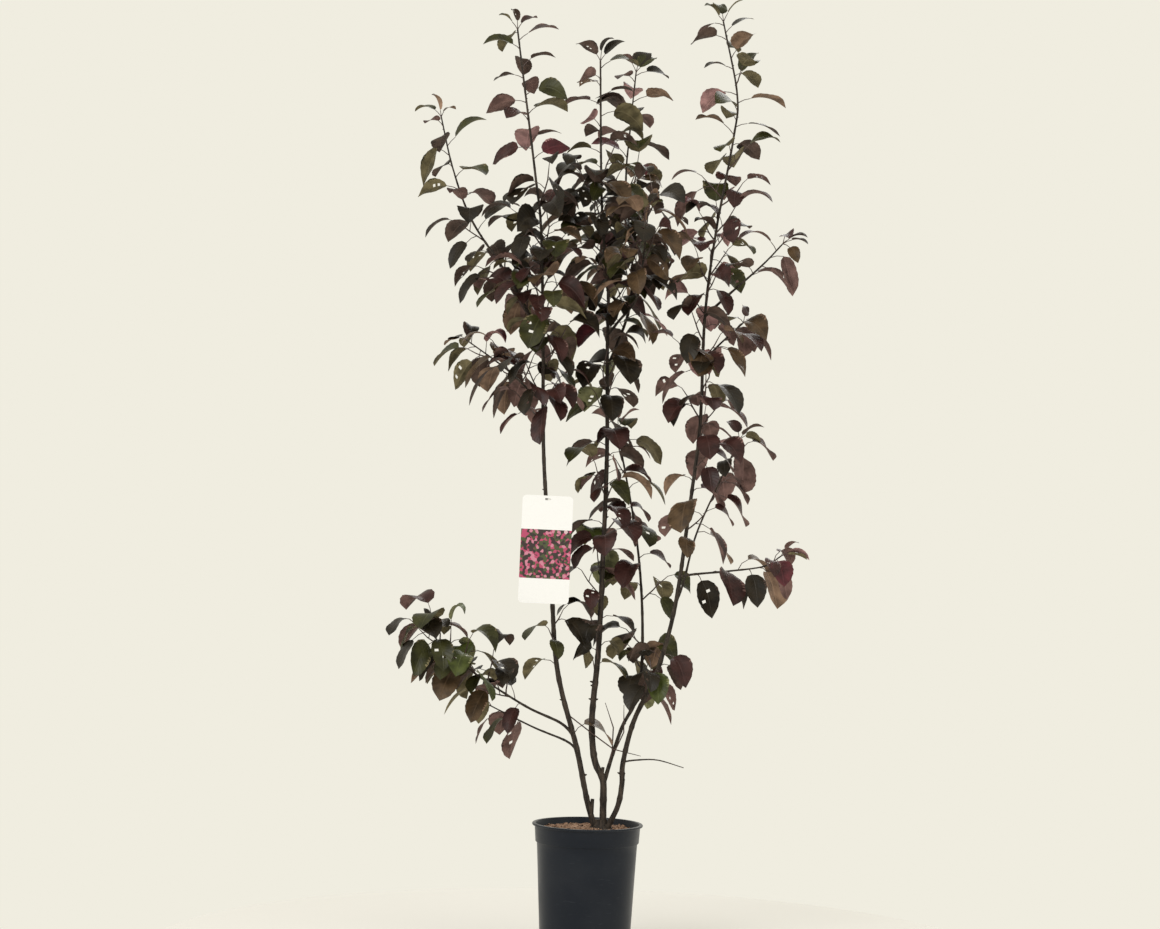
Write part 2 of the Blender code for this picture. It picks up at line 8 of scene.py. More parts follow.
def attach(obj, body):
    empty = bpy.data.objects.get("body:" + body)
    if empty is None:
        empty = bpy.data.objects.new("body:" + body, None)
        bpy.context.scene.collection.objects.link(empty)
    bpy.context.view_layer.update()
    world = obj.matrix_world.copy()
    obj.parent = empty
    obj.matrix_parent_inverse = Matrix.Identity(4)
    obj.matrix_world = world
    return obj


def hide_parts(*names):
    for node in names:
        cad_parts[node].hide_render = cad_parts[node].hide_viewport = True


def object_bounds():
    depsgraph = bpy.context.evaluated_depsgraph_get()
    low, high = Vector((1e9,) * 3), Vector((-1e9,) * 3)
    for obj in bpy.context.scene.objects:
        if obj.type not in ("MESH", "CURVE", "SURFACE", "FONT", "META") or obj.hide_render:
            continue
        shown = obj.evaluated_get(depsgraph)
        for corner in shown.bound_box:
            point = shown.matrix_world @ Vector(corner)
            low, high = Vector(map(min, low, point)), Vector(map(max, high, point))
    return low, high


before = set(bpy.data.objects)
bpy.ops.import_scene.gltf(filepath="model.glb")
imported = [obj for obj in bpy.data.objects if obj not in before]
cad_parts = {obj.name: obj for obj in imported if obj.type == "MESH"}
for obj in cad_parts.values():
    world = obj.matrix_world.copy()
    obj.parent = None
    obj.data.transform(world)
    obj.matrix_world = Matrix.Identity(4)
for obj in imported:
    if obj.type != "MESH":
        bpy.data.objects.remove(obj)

CAD_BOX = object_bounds()
FULL_TURN = 2 * math.pi
GOLDEN_TURN = math.radians(137.5)
DOWN = Vector((0.0, 0.0, -1.0))
UP = Vector((0.0, 0.0, 1.0))

# All pieces
SHARP_EDGE = math.radians(50)
BUMP_STRENGTH = 0.6
LEAF_MAP = "leaf"
NEARLY_ALONG = 0.95

# Camera: level, straight at the plant, with the slight turn of the photograph
CAMERA_PLACE = (-0.029, -5.04, 0.8347)
CAMERA_LENS = 91.2
CAMERA_SENSOR = 36.0
CAMERA_TURN = math.radians(1.5)

# Floor, background and lamps. A lamp is its name, place, width and power.
FLOOR_RADIUS = 0.75
FLOOR_SIDES = 96
FLOOR_HEIGHT = -0.0005
FLOOR_COLOUR = (0.735, 0.720, 0.690)
BACKGROUND = (0.871, 0.846, 0.745)
LAMPS = (
    ("key", (-2.0, -2.6, 2.6), 1.6, 60.0),
    ("fill", (2.4, -2.2, 1.3), 2.0, 16.0),
    ("back", (0.8, 2.4, 2.4), 1.6, 24.0),
)
LAMPS_AIM = Vector((0.0, 0.0, 0.85))

# Pot, repeated from the frame's construction
POT_HEIGHT = 0.220
FOOT_RADIUS = 0.0758
BODY_TOP_RADIUS = 0.0862
BAND_HEIGHT = 0.032
BAND_LOW_RADIUS = 0.0888
BAND_TOP_RADIUS = 0.0908
LIP_RADIUS = 0.095
LIP_DEPTH = 0.0036
WALL = 0.0022
BAND_FOOT = POT_HEIGHT - BAND_HEIGHT
LIP_FOOT = POT_HEIGHT - LIP_DEPTH
POT_SIDES = 128
POT_SHARP = math.radians(38)
DISC_RADIUS = FOOT_RADIUS - 0.0004
DRAIN_HOLES = 6
DRAIN_RADIUS = 0.0045
DRAIN_RING_RADIUS = 0.056
DRAIN_SIDES = 32
DRILL_DEPTH = 0.02

# Radius and height of each ring of the pot, from the foot's edge up the outside and down the inside
POT_RINGS = (
    (FOOT_RADIUS + 0.0004, 0.0012),
    (FOOT_RADIUS + 0.0012, 0.016),
    (FOOT_RADIUS + 0.0018, 0.0175),
    (FOOT_RADIUS + 0.0022, 0.030),
    (BODY_TOP_RADIUS - 0.0008, BAND_FOOT - 0.014),
    (BODY_TOP_RADIUS, BAND_FOOT - 0.0008),
    (BODY_TOP_RADIUS + 0.0006, BAND_FOOT - 0.0001),
    (BAND_LOW_RADIUS - 0.0005, BAND_FOOT + 0.0002),
    (BAND_LOW_RADIUS, BAND_FOOT + 0.0010),
    (BAND_TOP_RADIUS - 0.0003, LIP_FOOT - 0.0022),
    (BAND_TOP_RADIUS + 0.0004, LIP_FOOT - 0.0004),
    (LIP_RADIUS - 0.0007, LIP_FOOT + 0.0001),
    (LIP_RADIUS, LIP_FOOT + 0.0009),
    (LIP_RADIUS, POT_HEIGHT - 0.0011),
    (LIP_RADIUS - 0.0009, POT_HEIGHT - 0.0001),
    (BAND_TOP_RADIUS - WALL + 0.0006, POT_HEIGHT),
    (BAND_TOP_RADIUS - WALL, POT_HEIGHT - 0.0010),
    (BAND_LOW_RADIUS - WALL - 0.0004, BAND_FOOT + 0.003),
    (BODY_TOP_RADIUS - WALL, BAND_FOOT - 0.003),
    (FOOT_RADIUS - WALL, WALL + 0.0008),
)

# Soil: shoulder and foot are a radius and a height, lumps a depth and a fineness
SOIL_LEVEL = 0.2110
SOIL_RADIUS = 0.0856
SOIL_DROP = 0.004
SOIL_SHOULDER = (0.0832, 0.182)
SOIL_FOOT = (0.0728, 0.0040)
SOIL_RINGS = 26
SOIL_SIDES = 96
SOIL_LUMPS = ((0.0022, 120.0), (0.0010, 400.0))

# The soil's lumps fade out towards the trunk and the wall
SMOOTH_AT_TRUNK = 0.018
SMOOTH_FADE = 0.02
SMOOTH_AT_WALL = 8

# Bark chips on the soil: half of their length, width and thickness, how they lie, and how worn a corner is
CHIP_SEED = 77
CHIP_COUNT = 420
CHIP_SPREAD = 0.082
CHIP_DROP_RADIUS = 0.084
CHIP_CLEAR = 0.020
CHIP_HALF_SIZES = ((0.0020, 0.0065), (0.0014, 0.0036), (0.0005, 0.0014))
CHIP_SPIN = 6.28
CHIP_TIP = 0.35
CHIP_ROLL = 0.25
CHIP_WEAR = (0.65, 1.1)
CHIP_LIFT = 0.0006
CHIP_SHARP = math.radians(20)
BOX_CORNERS = ((-1, -1, -1), (1, -1, -1), (1, 1, -1), (-1, 1, -1),
               (-1, -1, 1), (1, -1, 1), (1, 1, 1), (-1, 1, 1))
BOX_SIDES = ((3, 2, 1, 0), (4, 5, 6, 7), (0, 1, 5, 4), (1, 2, 6, 5), (2, 3, 7, 6), (3, 0, 4, 7))

# Card. Its picture block lies between two heights, measured from the card's centre.
CARD_CENTRE = (-0.0835, -0.0555, 0.689)
CARD_TILT = math.radians(1.2)
CARD_HEIGHT = 0.183
DAB_FINENESS = 210.0
PICTURE_LOW = CARD_HEIGHT * -0.27
PICTURE_HIGH = CARD_HEIGHT * 0.185
PICTURE_COLOURS = (
    (0.0, (0.030, 0.022, 0.018)),
    (0.34, (0.42, 0.055, 0.13)),
    (0.50, (0.060, 0.075, 0.026)),
    (0.66, (0.55, 0.20, 0.28)),
    (0.76, (0.032, 0.016, 0.016)),
    (0.92, (0.62, 0.44, 0.46)),
)

# Trunk foot: as wide at the top as the waist's share of its foot, with a flare and shallow buttresses
TRUNK_CENTRE = Vector((0.023, 0.0, 0.0))
TRUNK_HALF_WIDTH = 0.0205
TRUNK_HALF_DEPTH = 0.0150
TRUNK_HEIGHT = 0.016
TRUNK_FOOT_HEIGHT = SOIL_LEVEL + 0.0003
TRUNK_WAIST = 0.50
TRUNK_FLARE = 2.2
TRUNK_RINGS = 12
TRUNK_SIDES = 40
BUTTRESSES = 5
BUTTRESS_DEPTH = 0.13
BUTTRESS_TURN = 0.7
TRUNK_ROUGH = Vector((0.0006, 0.0006, 0.0))
TRUNK_ROUGH_FINENESS = 180.0

# Cut-back stubs low on the stems: foot, top, radius
STUBS = (
    ((0.006, 0.0, 0.238), (0.0075, 0.0, 0.262), 0.0034),
    ((0.022, -0.002, 0.300), (0.024, -0.003, 0.317), 0.0030),
)
STUB_SWELL = (1.15, 1.0, 0.92)
STUB_MIDDLE = 0.6

# Limbs: lumps are a share of the radius and a fineness
LIMB_SEED = 500
LIMB_STEP = 0.006
LIMB_SIDES = 12
LIMB_TAPER = 0.8
LIMB_LUMPS = ((0.07, 260.0), (0.06, 90.0))

# Joints swell in a steady beat along the limb
JOINT_SWELL = 0.16
JOINT_PACE = 0.9
JOINT_SHIFT = 900
JOINT_NARROW = 8

# Bud scars: the profile is how far out each ring stands and how thick it is, as shares of the scar's size
SCAR_SPACING = 9
SCAR_SMALLEST = 0.0009
SCAR_SHARE = 0.42
SCAR_SIDES = 6
SCAR_FREE_FOOT = 4
SCAR_FREE_TIP = 2
SCAR_RISE = 0.25
SCAR_ROOT = 0.7
SCAR_PROFILE = ((0.0, 1.0), (1.6, 0.75), (2.6, 0.2))

# Every limb: radius at foot and tip, its points, and its dressed stretches
LIMBS = {
    # A stretch: lowest and highest height, rise from leaf to leaf, share and length of side twigs, leaf hang
    "stem_left": (0.0052, 0.0015, [
        (0.013, 0.000, 0.212), (-0.002, 0.000, 0.260), (-0.022, -0.006, 0.349), (-0.059, -0.018, 0.486),
        (-0.074, -0.035, 0.654), (-0.091, -0.050, 0.849), (-0.097, -0.055, 1.036), (-0.105, -0.045, 1.225),
        (-0.118, -0.040, 1.327), (-0.146, -0.025, 1.514), (-0.155, -0.018, 1.575)],
        [(0.355, 0.375, 0.020, 0.0, 0.0, 2.2), (0.46, 0.58, 0.034, 0.35, 0.030, 2.2),
         (0.90, 1.06, 0.015, 0.55, 0.054, 2.1), (1.06, 1.30, 0.0108, 0.60, 0.060, 1.6),
         (1.35, 1.575, 0.0155, 0.0, 0.0, 1.1)]),
    "stem_middle": (0.0062, 0.0015, [
        (0.026, 0.000, 0.214), (0.026, 0.000, 0.261), (0.024, 0.000, 0.296), (0.009, 0.000, 0.330),
        (0.003, 0.000, 0.400), (0.011, 0.008, 0.517), (0.014, 0.016, 0.646), (0.017, 0.024, 0.844),
        (0.013, 0.030, 1.033), (0.012, 0.030, 1.130), (-0.003, 0.028, 1.283), (-0.012, 0.020, 1.530)],
        [(0.45, 0.60, 0.024, 0.35, 0.034, 2.2), (0.60, 0.80, 0.017, 0.55, 0.052, 2.2),
         (0.80, 1.00, 0.017, 0.60, 0.056, 2.0), (1.00, 1.06, 0.020, 0.60, 0.060, 1.7),
         (1.06, 1.33, 0.0105, 0.62, 0.062, 1.6), (1.36, 1.53, 0.0165, 0.0, 0.0, 1.1)]),
    "stem_right": (0.0048, 0.0014, [
        (0.034, -0.004, 0.213), (0.051, -0.007, 0.252), (0.057, -0.010, 0.290), (0.058, -0.012, 0.328),
        (0.075, -0.022, 0.401), (0.111, -0.034, 0.485), (0.139, -0.046, 0.599), (0.158, -0.052, 0.759),
        (0.173, -0.050, 0.907), (0.177, -0.035, 1.090), (0.193, -0.010, 1.237), (0.220, 0.015, 1.400),
        (0.225, 0.020, 1.478), (0.198, 0.020, 1.603)],
        [(0.44, 0.53, 0.0110, 0.30, 0.026, 2.6), (0.69, 0.90, 0.021, 0.55, 0.046, 2.3),
         (0.90, 1.12, 0.022, 0.60, 0.050, 2.1), (1.12, 1.30, 0.0150, 0.55, 0.048, 1.6),
         (1.33, 1.603, 0.0150, 0.05, 0.030, 1.1)]),
    "stem_inner": (0.0036, 0.0014, [
        (0.025, 0.000, 0.284), (0.036, 0.006, 0.325), (0.055, 0.012, 0.385), (0.083, 0.026, 0.449),
        (0.086, 0.045, 0.569), (0.073, 0.062, 0.706), (0.044, 0.080, 0.853), (0.036, 0.088, 0.900)],
        [(0.42, 0.53, 0.0125, 0.55, 0.030, 2.2), (0.60, 0.90, 0.024, 0.50, 0.045, 2.1)]),
    "bough_far_left": (0.0030, 0.0012, [
        (-0.097, -0.055, 1.030), (-0.119, -0.030, 1.082), (-0.167, 0.015, 1.164), (-0.228, 0.060, 1.254),
        (-0.264, 0.080, 1.345), (-0.287, 0.090, 1.435)],
        [(1.06, 1.22, 0.013, 0.50, 0.050, 1.8), (1.22, 1.435, 0.0185, 0.0, 0.0, 1.1)]),
    "bough_back": (0.0028, 0.0012, [
        (0.014, 0.030, 1.006), (0.028, 0.048, 1.040), (0.050, 0.078, 1.110), (0.053, 0.105, 1.195),
        (0.039, 0.130, 1.327), (0.044, 0.145, 1.429), (0.052, 0.152, 1.530)],
        [(1.06, 1.32, 0.0140, 0.60, 0.062, 1.7), (1.32, 1.53, 0.0165, 0.05, 0.030, 1.1)]),
    "bough_front": (0.0026, 0.0012, [
        (0.012, 0.030, 1.058), (0.030, 0.000, 1.081), (0.060, -0.055, 1.120), (0.068, -0.095, 1.181),
        (0.074, -0.120, 1.260)],
        [(1.09, 1.26, 0.0095, 0.55, 0.050, 1.7)]),
    "bough_right_arm": (0.0026, 0.0012, [
        (0.177, -0.035, 1.092), (0.209, -0.060, 1.123), (0.267, -0.110, 1.176), (0.300, -0.136, 1.212)],
        [(1.14, 1.212, 0.0120, 0.0, 0.0, 1.3)]),
    "bough_right_back": (0.0022, 0.0011, [
        (0.140, -0.046, 0.602), (0.154, -0.020, 0.642), (0.174, 0.020, 0.719), (0.210, 0.060, 0.802),
        (0.248, 0.092, 0.885)],
        [(0.70, 0.885, 0.026, 0.20, 0.030, 2.2)]),
    "bough_right_low": (0.0022, 0.0011, [
        (0.146, -0.050, 0.649), (0.171, -0.060, 0.654), (0.230, -0.085, 0.662), (0.285, -0.105, 0.672),
        (0.312, -0.113, 0.690)],
        [(0.652, 0.690, 0.0036, 0.10, 0.020, 2.6)]),
    "bough_right_middle": (0.0022, 0.0011, [
        (0.177, -0.042, 1.015), (0.203, -0.020, 1.045), (0.246, 0.020, 1.086)],
        [(1.03, 1.086, 0.0080, 0.30, 0.030, 2.0)]),
    "bough_left_middle": (0.0022, 0.0011, [
        (-0.095, -0.054, 0.940), (-0.121, -0.030, 0.961), (-0.162, 0.010, 0.997), (-0.232, 0.070, 1.046)],
        [(0.955, 1.046, 0.0060, 0.40, 0.040, 1.9)]),
    "bough_low_left": (0.0026, 0.0012, [
        (-0.026, -0.008, 0.367), (-0.050, -0.018, 0.392), (-0.110, -0.042, 0.421), (-0.189, -0.068, 0.471),
        (-0.240, -0.085, 0.510), (-0.275, -0.094, 0.548)],
        [(0.418, 0.548, 0.0060, 0.45, 0.040, 2.0)]),
    "bough_low_back_left": (0.0022, 0.0011, [
        (-0.022, -0.006, 0.346), (-0.041, 0.005, 0.360), (-0.098, 0.038, 0.379), (-0.172, 0.076, 0.410)],
        [(0.383, 0.410, 0.0052, 0.20, 0.020, 2.0)]),
    "twig_low_right": (0.0017, 0.0007, [
        (0.059, -0.012, 0.328), (0.076, -0.020, 0.332), (0.115, -0.035, 0.335), (0.160, -0.055, 0.325)], []),
}

# Thin bare twigs between the feet of the stems
BARE_TWIGS = (
    ((-0.038, -0.011, 0.406), (0.004, -0.012, 0.375), (0.041, -0.010, 0.349), (0.088, -0.006, 0.338)),
    ((0.031, 0.003, 0.306), (0.039, 0.004, 0.343), (0.040, 0.004, 0.385), (0.025, 0.006, 0.427)),
    ((0.039, 0.007, 0.333), (0.058, -0.004, 0.378), (0.057, -0.006, 0.425)),
)
BARE_TWIG_RADIUS = (0.0011, 0.0005)

# Side twigs: radii from foot to tip, and how much shorter or longer than its stretch tells each may be
TWIG_RADII = (0.0014, 0.0013, 0.0012, 0.0011, 0.0009)
TWIG_PARTS = len(TWIG_RADII) - 1
TWIG_SIDES = 6
TWIG_LEAF_SPACING = 0.016
TWIG_LENGTHS = (0.6, 1.2)
TWIG_LIFT = 0.35
TWIG_RISE = 0.10
TWIG_STRAY = 0.14
TWIG_LEAF_OUT = 0.9
TWIG_LEAF_FORWARD = 0.6

# How leaves and twigs stand on a limb: start as a share of its radius, least steepness counted, stray, lean
ROOT_SHARE = 0.5
LEAST_STEEP = 0.2
TURN_STRAY = 0.25
FORWARD_LEAN = (0.35, 0.9)

# Near a limb's tip the leaves are smaller, and the very end of a dressed limb carries three
TIP_SHARE = 0.93
TIP_LEAF_SCALE = 0.80
END_LEANS = (-0.5, 0.1, 0.6)
END_STRAY = 0.4
END_LEAF_SCALE = 0.62

# Leaf: the blade is a row of stations, each with points across it from margin to margin
LEAF_STATIONS = 14
LEAF_ACROSS = (-1.0, -0.68, -0.32, 0.0, 0.32, 0.68, 1.0)
LEAF_THICKNESS = 0.0004
LEAF_LENGTH = (0.045, 0.073)
LEAF_WIDTH = (0.54, 0.76)

# The outline is a sine that is widest early and drawn in to a point, with teeth at every other station
LEAF_WIDEST_EARLY = 0.82
LEAF_FULLNESS = 0.62
LEAF_POINT = 0.16
LEAF_TEETH = (0.98, 1.03)

# How the blade ripples, droops, folds along its midrib, rolls and strays
LEAF_RIPPLE_ALONG = 7.0
LEAF_RIPPLE_ACROSS = 2.0
LEAF_DROOP = (0.75, 1.25)
LEAF_FOLD = (0.08, 0.38)
LEAF_WAVE = (0.0, 0.20)
LEAF_ROLL = 0.45
LEAF_STRAY = (0.16, 0.16, 0.12)
LEAF_HEADING_KEPT = 0.5
LEAF_LEAST_SIDE = 0.05

# Leaf stalk, and the slant and number of side veins
STALK_LENGTH = (0.016, 0.028)
STALK_RADII = (0.0009, 0.0007, 0.0006)
STALK_SIDES = 5
STALK_SAG = 0.22
VEIN_SLANT = 0.24
VEIN_PAIRS = 9.0

# Eaten holes: share of leaves, and the ranges for first station, stations between two holes, and cell across
HOLE_SHARE = 0.20
HOLE_FIRST = (3, 7)
HOLE_APART = (2, 5)
HOLE_CELL = (1, 5)

# Leaf kinds: colour above and colour below
LEAF_KINDS = {
    "dark": ((0.014, 0.010, 0.005), (0.090, 0.060, 0.048)),
    "olive": ((0.030, 0.030, 0.007), (0.150, 0.125, 0.068)),
    "bronze": ((0.066, 0.040, 0.020), (0.240, 0.155, 0.105)),
    "wine": ((0.034, 0.012, 0.010), (0.165, 0.098, 0.086)),
    "crimson": ((0.072, 0.014, 0.018), (0.360, 0.205, 0.198)),
    "green": ((0.046, 0.056, 0.011), (0.190, 0.190, 0.095)),
}

# How often each kind grows in the tips, on the right side, high up, in the middle and low down
TIPS_HEIGHT = 1.32
RIGHT_SIDE = 0.12
UPPER_HEIGHT = 0.98
MIDDLE_HEIGHT = 0.60
TIP_KINDS = {"dark": 34, "olive": 26, "bronze": 14, "wine": 18, "crimson": 8}
RIGHT_KINDS = {"wine": 44, "dark": 26, "crimson": 10, "bronze": 10, "olive": 10}
UPPER_KINDS = {"dark": 38, "olive": 26, "wine": 14, "bronze": 17, "crimson": 5}
MIDDLE_KINDS = {"wine": 40, "dark": 32, "bronze": 8, "olive": 12, "green": 8}
LOW_KINDS = {"dark": 38, "olive": 32, "wine": 14, "green": 8, "bronze": 8}


class Wire:
    """A socket in a material that adds its maths nodes when it is reckoned with."""

    def __init__(self, paint, socket):
        self.paint = paint
        self.socket = socket

    def reckon(self, operation, *values):
        return self.paint.node("ShaderNodeMath", 0, dict(enumerate(values)), {"operation": operation})

    def __add__(self, other):
        return self.reckon("ADD", self, other)

    __radd__ = __add__

    def __sub__(self, other):
        return self.reckon("SUBTRACT", self, other)

    def __rsub__(self, other):
        return self.reckon("SUBTRACT", other, self)

    def __mul__(self, other):
        return self.reckon("MULTIPLY", self, other)

    __rmul__ = __mul__

    def over(self, level):
        return self.reckon("GREATER_THAN", self, level)

    def size(self):
        return self.reckon("ABSOLUTE", self)

    def wrap(self, span):
        return self.reckon("PINGPONG", self, span)


def set_stops(ramp, stops):
    """Flat colours, each from its own stop up to the next."""
    ramp.interpolation = "CONSTANT"
    ramp.elements.remove(ramp.elements[-1])
    for at, colour in stops:
        stop = ramp.elements.new(at) if at else ramp.elements[0]
        stop.color = (*colour, 1.0)


class Paint:
    """A material with one Principled shader and the nodes that feed it."""

    def __init__(self, name, roughness, specular=0.5):
        self.material = bpy.data.materials.new(name)
        self.material.use_nodes = True
        self.tree = self.material.node_tree
        self.shader = self.tree.nodes["Principled BSDF"]
        self.shader.inputs["Roughness"].default_value = roughness
        self.shader.inputs["Specular IOR Level"].default_value = specular

    def feed(self, socket, value):
        if isinstance(value, Wire):
            self.tree.links.new(value.socket, socket)
        elif socket.type == "RGBA":
            socket.default_value = (*value, 1.0)
        else:
            socket.default_value = value

    def node(self, kind, output, values=(), settings=()):
        """A node of this kind: first its settings, then the value or link of each socket named."""
        made = self.tree.nodes.new(kind)
        for key, setting in dict(settings).items():
            if key == "stops":
                set_stops(made.color_ramp, setting)
            else:
                setattr(made, key, setting)
        for key, value in dict(values).items():
            self.feed(made.inputs[key], value)
        return Wire(self, made.outputs[output])

    def place(self, scale=(1.0, 1.0, 1.0)):
        spot = self.node("ShaderNodeTexCoord", "Object")
        return self.node("ShaderNodeMapping", "Vector", {"Vector": spot, "Scale": scale})

    def split(self, where):
        """The three parts of a place."""
        first = self.node("ShaderNodeSeparateXYZ", 0, {0: where})
        return [Wire(self, socket) for socket in first.socket.node.outputs]

    def speckle(self, where, scale, detail=3.0):
        return self.node("ShaderNodeTexNoise", 0, {"Vector": where, "Scale": scale, "Detail": detail})

    def blend(self, share, low, high):
        """One colour where the share is 0, passing into the other where it is 1."""
        return self.node("ShaderNodeMix", 2, {0: share, 6: low, 7: high}, {"data_type": "RGBA"})

    def stretch(self, value, low, high):
        return self.node("ShaderNodeMapRange", 0, {"Value": value, "From Min": low, "From Max": high})

    def finish(self, colour, roughness=None, height=None, depth=0.0):
        """Feeds the shader and gives the finished material."""
        self.feed(self.shader.inputs["Base Color"], colour)
        if roughness is not None:
            self.feed(self.shader.inputs["Roughness"], roughness)
        if height is not None:
            bump = {"Height": height, "Distance": depth, "Strength": BUMP_STRENGTH}
            self.feed(self.shader.inputs["Normal"], self.node("ShaderNodeBump", 0, bump))
        return self.material


def bark_paint():
    """Dark bark with long streaks and pale cross-wise pores."""
    paint = Paint("bark", 0.7, specular=0.2)
    streaks = paint.speckle(paint.place((1.0, 1.0, 0.18)), scale=260.0, detail=5.0)
    pores = paint.speckle(paint.place((1.0, 1.0, 2.2)), scale=340.0, detail=1.0)
    pore = paint.stretch(pores, 0.66, 0.72)
    streak = paint.stretch(streaks, 0.35, 0.68)
    wood = paint.blend(streak, low=(0.014, 0.011, 0.009), high=(0.060, 0.045, 0.034))
    colour = paint.blend(pore * 0.7, low=wood, high=(0.130, 0.100, 0.075))
    return paint.finish(colour, roughness=0.62 + 0.2 * streaks, height=streaks + pore * 0.4, depth=0.0006)


def twig_paint():
    """Smooth red-brown bark of twigs and leaf stalks."""
    paint = Paint("young_twig", 0.5)
    streak = paint.stretch(paint.speckle(paint.place(), scale=180.0), 0.35, 0.65)
    return paint.finish(paint.blend(streak, low=(0.032, 0.015, 0.012), high=(0.070, 0.036, 0.027)))


def leaf_paint(name, colour, underside):
    """One face of a leaf, mottled, with a midrib and side veins from the blade's own map."""
    paint = Paint(name, 0.60, specular=0.10) if underside else Paint(name, 0.42, specular=0.24)
    across, along, _ = paint.split(paint.node("ShaderNodeUVMap", 0, settings={"uv_map": LEAF_MAP}))
    sideways = (across - 0.5).size() * 2.0
    veins = ((along - sideways * VEIN_SLANT) * VEIN_PAIRS).wrap(0.5) * 2.0
    vein = paint.stretch(veins, 0.80, 1.0)
    midrib = 1.0 - paint.stretch(sideways, 0.02, 0.07)
    mottle = paint.speckle(paint.place(), scale=55.0)
    pale = [channel * 1.7 + 0.010 for channel in colour]
    deep = [channel * 0.60 for channel in colour]
    rich = [channel * 1.40 for channel in colour]
    body = paint.blend(paint.stretch(mottle, 0.35, 0.65), low=deep, high=rich)
    veined = paint.blend(midrib * 0.55 + vein * 0.18, low=body, high=pale)
    sign = 1.0 if underside else -1.0
    return paint.finish(veined, height=(vein * 0.5 + midrib) * sign + mottle * 0.2, depth=0.0006)


def pot_paint():
    """Near-black plastic with paler blotches that are partly a little dust and partly painted sheen, and fine
    scuffs.
    """
    paint = Paint("pot_plastic", 0.38, specular=0.22)
    cloud = paint.speckle(paint.place(), scale=14.0)
    scuffs = paint.speckle(paint.place((1.0, 1.0, 7.0)), scale=60.0, detail=6.0)
    scuff = paint.stretch(scuffs, 0.62, 0.74)
    # Paler bluish-grey blotches, partly dust and partly painted sheen, blended into the plastic's colour
    dust_and_sheen = paint.stretch(cloud, 0.45, 0.75)
    base = paint.blend(dust_and_sheen * 0.5, low=(0.0055, 0.0085, 0.0150), high=(0.0150, 0.0180, 0.0240))
    colour = paint.blend(scuff * 0.18, low=base, high=(0.070, 0.078, 0.090))
    return paint.finish(colour, roughness=0.33 + 0.15 * dust_and_sheen + 0.12 * scuff, height=scuffs, depth=0.0002)


def soil_paint(name, low, high):
    """Crumbly stuff between two colours, with rusty patches."""
    paint = Paint(name, 0.95)
    crumbs = paint.speckle(paint.place(), scale=420.0, detail=6.0)
    patches = paint.speckle(paint.place(), scale=70.0)
    grain = paint.blend(paint.stretch(crumbs, 0.35, 0.65), low=low, high=high)
    colour = paint.blend(paint.stretch(patches, 0.55, 0.75) * 0.6, low=grain, high=(0.300, 0.180, 0.110))
    return paint.finish(colour, height=crumbs, depth=0.0012)


def card_paint():
    """White card with a generic patch of petal and leaf coloured dabs on its front."""
    paint = Paint("card_print", 0.42)
    spot = paint.node("ShaderNodeTexCoord", "Object")
    upright = {"Vector": spot, "Location": CARD_CENTRE, "Rotation": (0.0, CARD_TILT, 0.0)}
    middle = paint.node("ShaderNodeMapping", "Vector", upright, {"vector_type": "TEXTURE"})
    _, depth, height = paint.split(middle)
    patch = height.over(PICTURE_LOW) * (1.0 - height.over(PICTURE_HIGH)) * (1.0 - depth.over(0.0))
    cells = paint.node("ShaderNodeTexVoronoi", "Color", {"Vector": middle, "Scale": DAB_FINENESS})
    dabs = paint.node("ShaderNodeValToRGB", 0, {0: cells}, {"stops": PICTURE_COLOURS})
    fibres = paint.speckle(middle, scale=900.0)
    grain = paint.stretch(fibres, 0.3, 0.7)
    card = paint.blend(grain, low=(0.800, 0.795, 0.790), high=(0.840, 0.835, 0.830))
    return paint.finish(paint.blend(patch, low=card, high=dabs), height=fibres, depth=0.0001)


def tie_paint():
    """Pale, slightly fibrous loop."""
    paint = Paint("tie_loop", 0.5)
    grain = paint.speckle(paint.place(), scale=500.0)
    colour = paint.blend(grain, low=(0.62, 0.61, 0.58), high=(0.80, 0.79, 0.77))
    return paint.finish(colour, height=grain, depth=0.0001)


def on_ring(radius, turn, height):
    """A point on a level ring round the upright axis."""
    return Vector((radius * math.cos(turn), radius * math.sin(turn), height))


def lump(point, layers):
    """Rise or dip of a rough surface at a point. Each layer is a depth and a fineness."""
    return sum(depth * noise.noise(point * fineness) for depth, fineness in layers)


def beside(ahead, turn):
    """A direction square to ahead, turned about it."""
    return Matrix.Rotation(turn, 3, ahead) @ ahead.orthogonal().normalized()


